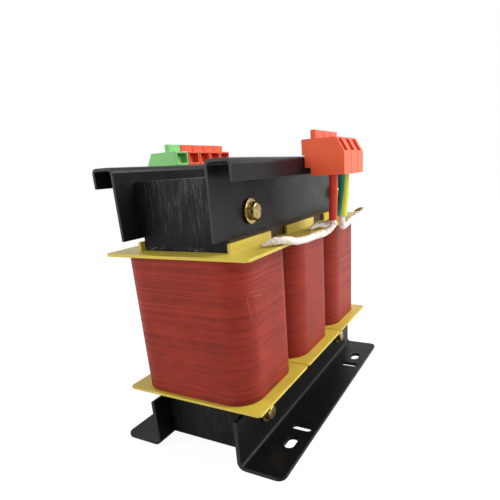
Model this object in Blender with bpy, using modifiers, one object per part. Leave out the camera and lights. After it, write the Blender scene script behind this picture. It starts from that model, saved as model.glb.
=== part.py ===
"""Three-phase dry-type transformer, in metres, +Z up.

X runs along the row of three coils, -Y is the long side with the three-way
terminal row, and Z = 0 is the floor under the mounting feet. A laminated core
carries three coils. Two bent channels clamp its top yoke, and two slotted
angles clamp its bottom yoke and make the feet.
"""
import math

import bmesh
import bpy
from mathutils import Matrix, Vector

# Fits between neighbouring pieces, and how far a cutter runs past what it cuts
SEAT = 0.0003
LIMB_PLAY = 0.0005
THROUGH = 0.006

# Laminated core
LIMB_WIDTH = 0.047
STACK_DEPTH = 0.068
BOTTOM_YOKE_HEIGHT = 0.0415
TOP_YOKE_HEIGHT = 0.0443
CORE_LIFT = 0.0037

# Coils, from the former outwards
COIL_HEIGHT = 0.1026
COIL_GAP = 0.0068
FORMER_WALL = 0.0015
FORMER_RADIUS = 0.003
INNER_BUILD = 0.0049
INNER_RADIUS = 0.009
WRAP_THICKNESS = 0.0005
OUTER_BUILD = 0.0048
OUTER_RADIUS = 0.018
TURN_PITCH = 0.0040
TURN_GROOVE = 0.00025

# End flanges of the coils
FLANGE_THICKNESS = 0.002
FLANGE_OVERHANG = 0.0090
FLANGE_GAP = 0.001
FLANGE_RADIUS = 0.003
UPSTAND_WIDTH = 0.054
UPSTAND_HEIGHT = 0.006
UPSTAND_THICKNESS = 0.002

# Bent sheet clamps and feet
CLAMP_SHEET = 0.002
CLAMP_BEND = 0.0035
CLAMP_OVERHANG = 0.018
CLAMP_LIFT = 0.0025
CLAMP_RISE = 0.0095
CLAMP_REACH = 0.0177
LIP_DROP = 0.0125
FOOT_SHEET = 0.003
FOOT_BEND = 0.006
FOOT_OVERHANG = 0.0165
FOOT_DROP = 0.0075
FOOT_REACH = 0.0353
FOOT_CORNER = 0.006

# Slots in the feet
CROSS_SLOT_WIDTH = 0.0065
CROSS_SLOT_LENGTH = 0.016
LONG_SLOT_WIDTH = 0.008
LONG_SLOT_LENGTH = 0.014
SLOT_LINE = 0.023
CROSS_SLOT_INSET = 0.0595
LONG_SLOT_INSET = 0.0392

# Yoke bolts
BOLT_RADIUS = 0.003
BOLT_HEAD_ACROSS = 0.010
BOLT_HEAD_HEIGHT = 0.004
BOLT_END = 0.003
BOLT_PLAY = 0.0006
NUT_HEIGHT = 0.005
WASHER_RADIUS = 0.008
WASHER_THICKNESS = 0.0016
BUSH_WALL = 0.001

# Terminal blocks on the top clamps
TERMINAL_PITCH = 0.0155
TERMINAL_DEPTH = 0.0312
TERMINAL_HANG = 0.0141
TERMINAL_SHOULDER = 0.0105
TERMINAL_INNER = 0.002
RIDGE_HEIGHT = 0.0056
RIDGE_THICKNESS = 0.0036
RIDGE_INSET = 0.007
CHAMFER_DEPTH = 0.0058
CHAMFER_HEIGHT = 0.0097
HOOK_DEPTH = 0.0084
HOOK_STEP = 0.0046
ENTRY_WIDTH = 0.0115
ENTRY_HEIGHT = 0.007
ENTRY_DEPTH = 0.005
ENTRY_SILL = 0.002
FUNNEL_WIDTH = 0.0095
FUNNEL_LENGTH = 0.013
FUNNEL_DEPTH = 0.006
FUNNEL_LINE = 0.0155
SCREW_SLOT_WIDTH = 0.008
SCREW_SLOT_DEPTH = 0.0035
SCREW_SLOT_RIM = 0.001
SCREW_SLOT_OFFSET = 0.00135
FRONT_TERMINALS = 3
REAR_TERMINALS = 5
FRONT_ROW_CENTRE = -0.0026
REAR_ROW_CENTRE = 0.0

# Leads and their sleeves
RED_LEAD_RADIUS = 0.003
STRIPED_LEAD_RADIUS = 0.0042
SLEEVE_RADIUS = 0.0027
SLEEVE_TIP = 0.35
TAPER_POINTS = 3
LEAD_STEP = 0.0035

# Facets, and how near two vertices lie before they are one
ROUND_SIDES = 16
CORNER_STEPS = 4
SHARP_DEGREES = 35
WELD = 0.00001

# Worked out from the sizes above
former_x = LIMB_WIDTH / 2 + LIMB_PLAY + FORMER_WALL
former_y = STACK_DEPTH / 2 + LIMB_PLAY + FORMER_WALL
winding_out = SEAT + INNER_BUILD + SEAT + WRAP_THICKNESS + SEAT + OUTER_BUILD
coil_x = former_x + winding_out
coil_y = former_y + winding_out
limb_pitch = 2 * coil_x + COIL_GAP
core_half = limb_pitch + LIMB_WIDTH / 2
stack_half = STACK_DEPTH / 2
yoke_top = CORE_LIFT + BOTTOM_YOKE_HEIGHT
coil_bottom = yoke_top + SEAT
coil_top = coil_bottom + COIL_HEIGHT
top_yoke_bottom = coil_top + SEAT
core_top = top_yoke_bottom + TOP_YOKE_HEIGHT
flange_x = (limb_pitch - FLANGE_GAP) / 2
flange_y = coil_y + FLANGE_OVERHANG
upstand_top = coil_top + UPSTAND_HEIGHT
web_in = stack_half + SEAT
clamp_bottom = upstand_top + CLAMP_LIFT
clamp_top = core_top + CLAMP_RISE
clamp_lip = web_in + CLAMP_REACH
clamp_half = core_half + CLAMP_OVERHANG
foot_half = core_half + FOOT_OVERHANG
foot_top = coil_bottom - FOOT_DROP
foot_edge = web_in + FOOT_REACH
top_bolt_z = top_yoke_bottom + TOP_YOKE_HEIGHT / 2
bottom_bolt_z = CORE_LIFT + BOTTOM_YOKE_HEIGHT / 2
bush_radius = BOLT_RADIUS + BOLT_PLAY + BUSH_WALL
bush_hole = bush_radius + BOLT_PLAY
sheet_hole = BOLT_RADIUS + BOLT_PLAY
terminal_seat_y = clamp_lip + SEAT
terminal_seat_z = clamp_top + SEAT
funnel_top = terminal_seat_z - TERMINAL_HANG + FUNNEL_DEPTH

MODEL = "three_phase_transformer"


def clear_scene():
    """Empty the file of objects and of the collections used here."""
    for old in list(bpy.data.objects):
        bpy.data.objects.remove(old, do_unlink=True)
    for name in (MODEL, "cutters"):
        old = bpy.data.collections.get(name)
        if old:
            bpy.data.collections.remove(old)


def new_collection(name):
    """Make a collection in the open scene."""
    made = bpy.data.collections.new(name)
    bpy.context.scene.collection.children.link(made)
    return made


def material(name, colour, roughness, metallic=0.0):
    """A plain Principled material from a linear RGB colour."""
    made = bpy.data.materials.get(name) or bpy.data.materials.new(name)
    made.use_nodes = True
    shader = made.node_tree.nodes["Principled BSDF"]
    shader.inputs["Base Color"].default_value = (*colour, 1.0)
    shader.inputs["Roughness"].default_value = roughness
    shader.inputs["Metallic"].default_value = metallic
    made.diffuse_color = (*colour, 1.0)
    return made


def add_part(name, mesh, finish, place=Matrix()):
    """Put a mesh into the model as one named sub-part."""
    part = bpy.data.objects.new(name, mesh)
    part.matrix_world = place
    if not mesh.materials:
        mesh.materials.append(finish)
    parts.objects.link(part)
    return part


def add_cutter(name, mesh, place=Matrix()):
    """Put a mesh among the cutters, which are not part of the model."""
    cutter = bpy.data.objects.new(name, mesh)
    cutter.matrix_world = place
    cutter.hide_render = True
    cutter.display_type = "WIRE"
    cutters.objects.link(cutter)
    return cutter


def combine(part, cutter, operation="DIFFERENCE"):
    """Cut or join a part by another mesh with an exact Boolean."""
    modifier = part.modifiers.new(cutter.name, "BOOLEAN")
    modifier.object = cutter
    modifier.operation = operation
    modifier.solver = "EXACT"


def mesh_from(shape, name):
    """Write a finished bmesh into a new mesh."""
    bmesh.ops.recalc_face_normals(shape, faces=shape.faces)
    mesh = bpy.data.meshes.new(name)
    shape.to_mesh(mesh)
    shape.free()
    return mesh


def box_mesh(name, low, high):
    """A cuboid between two corners."""
    shape = bmesh.new()
    bmesh.ops.create_cube(shape, size=1.0)
    middle = (Vector(low) + Vector(high)) / 2
    size = Vector(high) - Vector(low)
    bmesh.ops.scale(shape, vec=size, verts=shape.verts)
    bmesh.ops.translate(shape, vec=middle, verts=shape.verts)
    return mesh_from(shape, name)


def cylinder_mesh(name, radius, length, sides=ROUND_SIDES):
    """A cylinder along Z, centred on the origin."""
    shape = bmesh.new()
    bmesh.ops.create_cone(shape, cap_ends=True, segments=sides, radius1=radius,
                          radius2=radius, depth=length)
    return mesh_from(shape, name)


def hexagon_radius(across_flats):
    """Corner radius of a hexagon."""
    return across_flats / 2 / math.cos(math.pi / 6)


def turned_mesh(name, profile):
    """Screw a closed (radius, z) profile round Z."""
    mesh = bpy.data.meshes.new(name + "_profile")
    points = [(radius, 0.0, height) for radius, height in profile]
    edges = [(index, (index + 1) % len(points)) for index in range(len(points))]
    mesh.from_pydata(points, edges, [])
    turned = bpy.data.objects.new(name + "_turned", mesh)
    bpy.context.scene.collection.objects.link(turned)
    screw = turned.modifiers.new("turn", "SCREW")
    screw.steps = screw.render_steps = ROUND_SIDES
    screw.use_merge_vertices = True
    screw.merge_threshold = WELD
    return baked_mesh(turned, name)


def baked_mesh(source, name):
    """Take the evaluated mesh of a working object and remove the object."""
    bpy.context.view_layer.update()
    graph = bpy.context.evaluated_depsgraph_get()
    mesh = bpy.data.meshes.new_from_object(source.evaluated_get(graph))
    mesh.name = name
    mesh.transform(source.matrix_world)
    shape = bmesh.new()
    shape.from_mesh(mesh)
    bmesh.ops.remove_doubles(shape, verts=shape.verts, dist=WELD)
    bmesh.ops.recalc_face_normals(shape, faces=shape.faces)
    shape.to_mesh(mesh)
    shape.free()
    bpy.data.objects.remove(source, do_unlink=True)
    return mesh


def outline_mesh(name, outline, thickness):
    """A flat outline in X and Z, extruded both ways along Y to its thickness."""
    flat = bpy.data.curves.new(name + "_outline", "CURVE")
    flat.dimensions = "2D"
    flat.fill_mode = "BOTH"
    flat.extrude = thickness / 2
    spline = flat.splines.new("POLY")
    spline.points.add(len(outline) - 1)
    for point, (across, up) in zip(spline.points, outline):
        point.co = (across, up, 0.0, 1.0)
    spline.use_cyclic_u = True
    plate = bpy.data.objects.new(name + "_flat", flat)
    plate.matrix_world = Matrix.Rotation(math.pi / 2, 4, "X")
    bpy.context.scene.collection.objects.link(plate)
    return baked_mesh(plate, name)


def rounded_outline(half_x, half_y, radius):
    """Corner points of a rounded rectangle, anticlockwise from +X."""
    points = []
    for quarter in range(4):
        start = quarter * math.pi / 2
        sign_x = 1 if quarter in (0, 3) else -1
        sign_y = 1 if quarter in (0, 1) else -1
        for step in range(CORNER_STEPS + 1):
            angle = start + step / CORNER_STEPS * math.pi / 2
            points.append((sign_x * (half_x - radius) + radius * math.cos(angle),
                           sign_y * (half_y - radius) + radius * math.sin(angle)))
    return points


def ring_mesh(name, sections):
    """Loft a closed ring round Z through (half_x, half_y, radius, z) sections.

    The sections run up the outer side and down the inner side, and the last
    one joins the first, so the ring's bore stays open.
    """
    shape = bmesh.new()
    rows = []
    for half_x, half_y, radius, height in sections:
        outline = rounded_outline(half_x, half_y, radius)
        rows.append([shape.verts.new((x, y, height)) for x, y in outline])
    for row, following in zip(rows, rows[1:] + rows[:1]):
        count = len(row)
        for index in range(count):
            beside = (index + 1) % count
            shape.faces.new((row[index], row[beside], following[beside], following[index]))
    return mesh_from(shape, name)


def tube_sections(outer, inner, bottom, top):
    """Sections of a plain ring between two rounded rectangles."""
    return [(*outer, bottom), (*outer, top), (*inner, top), (*inner, bottom)]


def bent_sheet_mesh(name, path, half_length, thickness, bend, corner=0.0):
    """Bend a strip of sheet along X to an open (y, z) path on its convex side.

    Every inner point of the path is a fold of radius bend. The two corners
    at the path's first point are rounded by the corner radius.
    """
    shape = bmesh.new()
    near = [shape.verts.new((-half_length, y, z)) for y, z in path]
    far = [shape.verts.new((half_length, y, z)) for y, z in path]
    for index in range(len(path) - 1):
        shape.faces.new((near[index], near[index + 1], far[index + 1], far[index]))
    folds = [shape.edges.get((a, b)) for a, b in zip(near[1:-1], far[1:-1])]
    bmesh.ops.bevel(shape, geom=folds, affect="EDGES", offset=bend,
                    offset_type="OFFSET", segments=CORNER_STEPS, profile=0.5)
    if corner:
        bmesh.ops.bevel(shape, geom=[near[0], far[0]], affect="VERTICES", offset=corner,
                        offset_type="OFFSET", segments=CORNER_STEPS, profile=0.5)
    mesh = bpy.data.meshes.new(name)
    shape.to_mesh(mesh)
    shape.free()
    strip = bpy.data.objects.new(name + "_strip", mesh)
    bpy.context.scene.collection.objects.link(strip)
    sheet = strip.modifiers.new("sheet", "SOLIDIFY")
    sheet.thickness = thickness
    sheet.offset = -1.0
    sheet.use_even_offset = True
    return baked_mesh(strip, name)


def slot_mesh(name, length, width, depth):
    """A round-ended slot cutter along X and through Z: a cylinder drawn apart."""
    mesh = cylinder_mesh(name, width / 2 / math.cos(math.pi / ROUND_SIDES), depth)
    mesh.transform(Matrix.Rotation(math.pi / ROUND_SIDES, 4, "Z"))
    for vertex in mesh.vertices:
        vertex.co.x += math.copysign((length - width) / 2, vertex.co.x)
    return mesh


def along_y(x, y, z):
    """Place a piece modelled along Z so that it runs along Y."""
    return Matrix.Translation((x, y, z)) @ Matrix.Rotation(math.pi / 2, 4, "X")


def half_turn():
    """Turn a piece of the front side round to the rear side."""
    return Matrix.Rotation(math.pi, 4, "Z")


def smooth_route(route):
    """Points every LEAD_STEP or so on a smooth curve through the route."""
    ends = [route[0] * 2 - route[1]] + route + [route[-1] * 2 - route[-2]]
    points = []
    for before, start, stop, after in zip(ends, ends[1:], ends[2:], ends[3:]):
        steps = max(1, round((stop - start).length / LEAD_STEP))
        for step in range(steps):
            t = step / steps
            points.append(0.5 * (2 * start + (stop - before) * t
                                 + (2 * before - 5 * start + 4 * stop - after) * t ** 2
                                 + (3 * start - before - 3 * stop + after) * t ** 3))
    return points + [route[-1]]


def add_lead(name, route, radius, finish, tip=1.0):
    """A round lead or sleeve along a route, thinner towards its first point."""
    curve = bpy.data.curves.new(name, "CURVE")
    curve.dimensions = "3D"
    curve.bevel_depth = radius
    curve.bevel_resolution = 2
    curve.use_fill_caps = True
    points = smooth_route([Vector(point) for point in route])
    spline = curve.splines.new("POLY")
    spline.points.add(len(points) - 1)
    for index, (point, place) in enumerate(zip(spline.points, points)):
        point.co = (*place, 1.0)
        point.radius = tip + (1.0 - tip) * min(1.0, index / TAPER_POINTS)
    curve.materials.append(finish)
    lead = bpy.data.objects.new(name, curve)
    parts.objects.link(lead)
    return lead


def add_core():
    """The E stack, its top yoke and the bolt holes through both."""
    outline = [(-core_half, CORE_LIFT), (core_half, CORE_LIFT)]
    for centre in (limb_pitch, 0.0, -limb_pitch):
        outline += [(centre + LIMB_WIDTH / 2, coil_top), (centre - LIMB_WIDTH / 2, coil_top)]
        if centre > -limb_pitch:
            window_ends = (centre - LIMB_WIDTH / 2, centre - limb_pitch + LIMB_WIDTH / 2)
            outline += [(end, yoke_top) for end in window_ends]
    core = add_part("core_e_stack", outline_mesh("e_stack", outline, STACK_DEPTH), lamination)
    yoke_box = box_mesh("top_yoke", (-core_half, -stack_half, top_yoke_bottom),
                        (core_half, stack_half, core_top))
    yoke = add_part("core_top_yoke", yoke_box, lamination)
    hole = cylinder_mesh("bush_hole", bush_hole, STACK_DEPTH + THROUGH)
    for end, x in (("near", -limb_pitch), ("far", limb_pitch)):
        combine(core, add_cutter(f"bottom_{end}_bush_hole", hole, along_y(x, 0.0, bottom_bolt_z)))
        combine(yoke, add_cutter(f"top_{end}_bush_hole", hole, along_y(x, 0.0, top_bolt_z)))


def winding_sections(bottom, top, outer, inner):
    """Ring sections whose outer side bulges once for each turn of wire."""
    turns = max(2, round((top - bottom) / TURN_PITCH))
    half_x, half_y, radius = outer
    sections = []
    for step in range(2 * turns + 1):
        groove = TURN_GROOVE if step % 2 == 0 else 0.0
        height = bottom + (top - bottom) * step / (2 * turns)
        sections.append((half_x - groove, half_y - groove, radius - groove, height))
    return sections + [(*inner, top), (*inner, bottom)]


def grown(outline, amount):
    """A rounded rectangle's half sizes and radius, all larger by one amount."""
    return tuple(value + amount for value in outline)


def add_coils():
    """Three coils, each a former, two windings, a wrap and two end flanges."""
    limb_hole = (LIMB_WIDTH / 2 + LIMB_PLAY, stack_half + LIMB_PLAY, FORMER_RADIUS - FORMER_WALL)
    former = grown(limb_hole, FORMER_WALL)
    inner_start = grown(former, SEAT)
    inner_end = (inner_start[0] + INNER_BUILD, inner_start[1] + INNER_BUILD, INNER_RADIUS)
    wrap_start = grown(inner_end, SEAT)
    wrap_end = grown(wrap_start, WRAP_THICKNESS)
    outer_start = grown(wrap_end, SEAT)
    outer_end = (coil_x, coil_y, OUTER_RADIUS)
    flange = (flange_x, flange_y, FLANGE_RADIUS)
    low = coil_bottom + FLANGE_THICKNESS + SEAT
    high = coil_top - FLANGE_THICKNESS - SEAT
    upstand_in = limb_hole[1] + SEAT
    upstand = box_mesh("upstand", (-UPSTAND_WIDTH / 2, upstand_in, coil_top - FLANGE_THICKNESS / 2),
                       (UPSTAND_WIDTH / 2, upstand_in + UPSTAND_THICKNESS, upstand_top))
    rings = (
        ("former", tube_sections(former, limb_hole, low, high), board),
        ("inner_winding", tube_sections(inner_end, inner_start, low, high), copper),
        ("layer_wrap", tube_sections(wrap_end, wrap_start, low, high), paper),
        ("outer_winding", winding_sections(low, high, outer_end, outer_start), varnished_wire),
        ("bottom_flange", tube_sections(flange, limb_hole, coil_bottom,
                                        coil_bottom + FLANGE_THICKNESS), board),
        ("top_flange", tube_sections(flange, limb_hole, coil_top - FLANGE_THICKNESS,
                                     coil_top), board),
    )
    meshes = [(label, ring_mesh(label, sections), finish) for label, sections, finish in rings]
    for number in (1, 2, 3):
        place = Matrix.Translation(((number - 2) * limb_pitch, 0.0, 0.0))
        for label, mesh, finish in meshes:
            part = add_part(f"coil_{number}_{label}", mesh, finish, place)
            if label == "top_flange":
                for side, turn in (("front", half_turn()), ("rear", Matrix())):
                    cutter = add_cutter(f"coil_{number}_{side}_upstand", upstand, place @ turn)
                    combine(part, cutter, "UNION")


def add_clamps():
    """The two bent channels that clamp the top yoke."""
    path = [(-web_in, clamp_bottom), (-web_in, clamp_top),
            (-clamp_lip, clamp_top), (-clamp_lip, clamp_top - LIP_DROP)]
    mesh = bent_sheet_mesh("clamp", path, clamp_half, CLAMP_SHEET, CLAMP_BEND)
    hole = cylinder_mesh("clamp_hole", sheet_hole, CLAMP_SHEET + THROUGH)
    for side, sign, turn in (("front", -1, Matrix()), ("rear", 1, half_turn())):
        clamp = add_part(f"top_clamp_{side}", mesh, black_paint, turn)
        for end, x in (("near", -limb_pitch), ("far", limb_pitch)):
            place = along_y(x, sign * (web_in + CLAMP_SHEET / 2), top_bolt_z)
            combine(clamp, add_cutter(f"top_{side}_{end}_bolt_hole", hole, place))


def add_feet():
    """The two slotted angles that clamp the bottom yoke and stand on the floor."""
    path = [(-foot_edge, 0.0), (-web_in, 0.0), (-web_in, foot_top)]
    mesh = bent_sheet_mesh("foot", path, foot_half, FOOT_SHEET, FOOT_BEND, FOOT_CORNER)
    hole = cylinder_mesh("foot_hole", sheet_hole, FOOT_SHEET + THROUGH)
    cut_depth = 2 * FOOT_SHEET + THROUGH
    cross_slot = slot_mesh("cross_slot", CROSS_SLOT_LENGTH, CROSS_SLOT_WIDTH, cut_depth)
    long_slot = slot_mesh("long_slot", LONG_SLOT_LENGTH, LONG_SLOT_WIDTH, cut_depth)
    crosswise = Matrix.Rotation(math.pi / 2, 4, "Z")
    for side, sign, turn in (("front", -1, Matrix()), ("rear", 1, half_turn())):
        foot = add_part(f"foot_{side}", mesh, black_paint, turn)
        slot_y = sign * (web_in + SLOT_LINE)
        for end, way in (("near", -1), ("far", 1)):
            place = along_y(way * limb_pitch, sign * (web_in + FOOT_SHEET / 2), bottom_bolt_z)
            combine(foot, add_cutter(f"foot_{side}_{end}_bolt_hole", hole, place))
            place = Matrix.Translation((way * (foot_half - CROSS_SLOT_INSET), slot_y, 0.0))
            combine(foot, add_cutter(f"foot_{side}_{end}_cross_slot", cross_slot, place @ crosswise))
            place = Matrix.Translation((way * (foot_half - LONG_SLOT_INSET), slot_y, 0.0))
            combine(foot, add_cutter(f"foot_{side}_{end}_long_slot", long_slot, place))


def bolt_mesh(grip):
    """A hexagon head bolt along Z, its head's underside at the origin."""
    shaft_length = grip + NUT_HEIGHT + BOLT_END
    head = cylinder_mesh("bolt_head", hexagon_radius(BOLT_HEAD_ACROSS), BOLT_HEAD_HEIGHT, 6)
    head.transform(Matrix.Translation((0.0, 0.0, BOLT_HEAD_HEIGHT / 2)))
    shaft = cylinder_mesh("bolt_shaft", BOLT_RADIUS, shaft_length + BOLT_HEAD_HEIGHT / 2)
    shaft.transform(Matrix.Translation((0.0, 0.0, BOLT_HEAD_HEIGHT / 4 - shaft_length / 2)))
    return joined_mesh("bolt", head, shaft, "UNION")


def nut_mesh():
    """A hexagon nut along Z, centred on the origin."""
    body = cylinder_mesh("nut_body", hexagon_radius(BOLT_HEAD_ACROSS), NUT_HEIGHT, 6)
    bore = cylinder_mesh("nut_bore", BOLT_RADIUS + BOLT_PLAY / 2, NUT_HEIGHT + THROUGH)
    return joined_mesh("nut", body, bore, "DIFFERENCE")


def joined_mesh(name, first, second, operation):
    """The baked Boolean of two meshes."""
    holder = bpy.data.objects.new(name + "_work", first)
    tool = bpy.data.objects.new(name + "_tool", second)
    for item in (holder, tool):
        bpy.context.scene.collection.objects.link(item)
    combine(holder, tool, operation)
    mesh = baked_mesh(holder, name)
    bpy.data.objects.remove(tool, do_unlink=True)
    return mesh


def ring_profile(outer, inner, length):
    """The (radius, z) section of a washer or a bush."""
    return [(outer, length / 2), (outer, -length / 2), (inner, -length / 2), (inner, length / 2)]


def add_yoke_bolts():
    """Four bolts through the yokes, each with a bush, two washers and a nut."""
    nut = nut_mesh()
    washer = turned_mesh("washer", ring_profile(WASHER_RADIUS, sheet_hole, WASHER_THICKNESS))
    bush = turned_mesh("bush", ring_profile(bush_radius, BOLT_RADIUS + BOLT_PLAY, STACK_DEPTH))
    for level, z, sheet in (("top", top_bolt_z, CLAMP_SHEET), ("bottom", bottom_bolt_z, FOOT_SHEET)):
        washer_y = web_in + sheet + SEAT + WASHER_THICKNESS / 2
        head_y = washer_y + WASHER_THICKNESS / 2 + SEAT
        nut_y = head_y + SEAT + NUT_HEIGHT / 2
        bolt = bolt_mesh(2 * head_y)
        for end, x in (("near", -limb_pitch), ("far", limb_pitch)):
            label = f"{level}_{end}"
            add_part(f"yoke_bolt_{label}", bolt, plated_steel, along_y(x, -head_y, z))
            add_part(f"front_washer_{label}", washer, plated_steel, along_y(x, -washer_y, z))
            add_part(f"rear_washer_{label}", washer, plated_steel, along_y(x, washer_y, z))
            add_part(f"yoke_nut_{label}", nut, plated_steel, along_y(x, nut_y, z))
            add_part(f"bolt_bush_{label}", bush, paper, along_y(x, 0.0, z))


def terminal_mesh():
    """One terminal block, facing -Y, its origin at the corner that it hooks over."""
    inner = -TERMINAL_INNER
    outer = inner + TERMINAL_DEPTH
    ridge = inner + RIDGE_INSET
    top = TERMINAL_SHOULDER + RIDGE_HEIGHT
    chamfer_low = TERMINAL_SHOULDER - CHAMFER_HEIGHT
    outline = [
        (inner, 0.0), (inner, TERMINAL_SHOULDER), (ridge, TERMINAL_SHOULDER), (ridge, top),
        (ridge + RIDGE_THICKNESS, top), (ridge + RIDGE_THICKNESS, TERMINAL_SHOULDER),
        (outer - CHAMFER_DEPTH, TERMINAL_SHOULDER), (outer, chamfer_low),
        (outer, -TERMINAL_HANG), (HOOK_STEP, -TERMINAL_HANG), (HOOK_STEP, -HOOK_DEPTH),
        (0.0, -HOOK_DEPTH), (0.0, 0.0),
    ]
    width = TERMINAL_PITCH - SEAT
    mesh = outline_mesh("terminal_body", outline, width)
    mesh.transform(Matrix.Rotation(-math.pi / 2, 4, "Z"))
    entry = box_mesh("wire_entry", (-ENTRY_WIDTH / 2, -inner - ENTRY_DEPTH, ENTRY_SILL),
                     (ENTRY_WIDTH / 2, -inner + ENTRY_DEPTH, ENTRY_SILL + ENTRY_HEIGHT))
    funnel = box_mesh("wire_funnel", (-FUNNEL_WIDTH / 2, -FUNNEL_LINE - FUNNEL_LENGTH / 2,
                                      -TERMINAL_HANG - FUNNEL_DEPTH),
                      (FUNNEL_WIDTH / 2, -FUNNEL_LINE + FUNNEL_LENGTH / 2,
                       -TERMINAL_HANG + FUNNEL_DEPTH))
    slope = math.hypot(CHAMFER_DEPTH, CHAMFER_HEIGHT)
    half_slot = slope / 2 - SCREW_SLOT_RIM
    slot = box_mesh("screw_slot", (-SCREW_SLOT_WIDTH / 2, -SCREW_SLOT_DEPTH, -half_slot),
                    (SCREW_SLOT_WIDTH / 2, SCREW_SLOT_DEPTH, half_slot))
    lean = math.atan2(CHAMFER_DEPTH, CHAMFER_HEIGHT)
    middle = (-SCREW_SLOT_OFFSET, CHAMFER_DEPTH / 2 - outer,
              TERMINAL_SHOULDER - CHAMFER_HEIGHT / 2)
    slot.transform(Matrix.Translation(middle) @ Matrix.Rotation(-lean, 4, "X"))
    for label, tool in (("entry", entry), ("funnel", funnel), ("slot", slot)):
        mesh = joined_mesh("terminal_" + label, mesh, tool, "DIFFERENCE")
    return mesh


def row_places(count, centre):
    """X of each block of a terminal row."""
    return [centre + (index - (count - 1) / 2) * TERMINAL_PITCH for index in range(count)]


def add_terminals():
    """A row of three blocks on the front clamp and of five on the rear clamp."""
    green_block = terminal_mesh()
    red_block = green_block.copy()
    seat = Matrix.Translation((0.0, -terminal_seat_y, terminal_seat_z))
    for number, x in enumerate(row_places(FRONT_TERMINALS, FRONT_ROW_CENTRE), 1):
        place = Matrix.Translation((x, 0.0, 0.0)) @ seat
        add_part(f"front_terminal_{number}", red_block, red_plastic, place)
    for number, x in enumerate(row_places(REAR_TERMINALS, REAR_ROW_CENTRE), 1):
        place = Matrix.Translation((x, 0.0, 0.0)) @ half_turn() @ seat
        if number == 1:
            add_part("rear_terminal_earth", green_block, green_plastic, place)
        else:
            add_part(f"rear_terminal_{number}", red_block, red_plastic, place)


def add_leads():
    """Three leads from the front terminals, each down to the sleeve of a coil's end.

    A route's points are (x, distance out from the flange's edge, height above
    the flange), from the thin end of the sleeve to where it takes the lead.
    """
    near, middle, far = row_places(FRONT_TERMINALS, FRONT_ROW_CENTRE)
    over = SEAT + SLEEVE_RADIUS
    tip = SEAT + SLEEVE_RADIUS * SLEEVE_TIP + SEAT
    routes = (
        ("coil_1", RED_LEAD_RADIUS, red_pvc, (near, 0.0030), (-0.0157, 0.0133, 0.0085),
         [(-0.0875, -0.0096, tip), (-0.0800, -0.0041, over + 0.0002),
          (-0.0730, 0.0016, over + 0.0002), (-0.0640, 0.0036, 0.0010),
          (-0.0500, 0.0044, -0.0004), (-0.0340, 0.0069, -0.0001), (-0.0225, 0.0099, 0.0004)]),
        ("coil_2", RED_LEAD_RADIUS, red_pvc, (middle, -0.0024), (0.0011, 0.0074, 0.0109),
         [(-0.0150, -0.0056, tip), (-0.0046, -0.0046, over + 0.0002),
          (0.0008, -0.0019, over + 0.0002), (0.0040, 0.0017, over + 0.0004)]),
        ("coil_3", STRIPED_LEAD_RADIUS, striped_pvc, (far, 0.0005), (0.0117, 0.0109, 0.0080),
         [(0.1130, -0.0091, tip), (0.1120, -0.0031, over + 0.0003),
          (0.1060, 0.0019, over + 0.0002), (0.0920, 0.0039, 0.0019), (0.0740, 0.0042, 0.0009),
          (0.0550, 0.0049, -0.0001), (0.0360, 0.0069, -0.0011), (0.0200, 0.0089, -0.0010)]),
    )
    for label, radius, finish, (top_x, top_out), (x, out, up), route in routes:
        top_y = -(terminal_seat_y + FUNNEL_LINE + top_out)
        y = -(flange_y + out)
        z = coil_top + up
        lead = [(top_x, top_y, funnel_top - SEAT), (top_x, top_y, (funnel_top + z) / 2),
                (x, y, z + SEAT + LEAD_STEP), (x, y, z + SEAT)]
        add_lead(f"lead_{label}", lead, radius, finish)
        sleeve = [(a, -(flange_y + b), coil_top + c) for a, b, c in route]
        sleeve += [(x, y, z - LEAD_STEP), (x, y, z)]
        add_lead(f"sleeve_{label}", sleeve, SLEEVE_RADIUS, fibreglass, SLEEVE_TIP)


clear_scene()
parts = new_collection(MODEL)
cutters = new_collection("cutters")

lamination = material("varnished_lamination", (0.012, 0.011, 0.013), 0.45)
black_paint = material("black_paint", (0.016, 0.016, 0.018), 0.40)
board = material("yellow_glass_board", (0.64, 0.47, 0.06), 0.45)
varnished_wire = material("red_varnished_wire", (0.36, 0.055, 0.04), 0.35)
copper = material("enamelled_copper", (0.45, 0.13, 0.05), 0.35, 0.6)
paper = material("insulating_paper", (0.50, 0.36, 0.20), 0.80)
plated_steel = material("yellow_zinc_steel", (0.62, 0.48, 0.22), 0.30, 1.0)
red_plastic = material("red_terminal_plastic", (0.80, 0.14, 0.07), 0.45)
green_plastic = material("green_terminal_plastic", (0.26, 0.60, 0.20), 0.45)
red_pvc = material("red_lead_plastic", (0.48, 0.04, 0.025), 0.40)
striped_pvc = material("green_yellow_lead_plastic", (0.30, 0.42, 0.05), 0.40)
fibreglass = material("white_fibreglass_sleeve", (0.82, 0.76, 0.70), 0.70)

add_core()
add_coils()
add_clamps()
add_feet()
add_yoke_bolts()
add_terminals()
add_leads()

for part in parts.objects:
    if part.type == "MESH":
        part.data.shade_smooth()
        part.data.set_sharp_from_angle(angle=math.radians(SHARP_DEGREES))
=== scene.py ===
"""Finishes for an open three-phase transformer, laid out as a Blender add-on.

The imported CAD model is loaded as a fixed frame. Each operator below finishes
one group of its pieces: the core, the coils, the bent sheets, the fasteners,
the terminal blocks and the leads. The last one sets up floor, light and camera.
"""
import math

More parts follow.
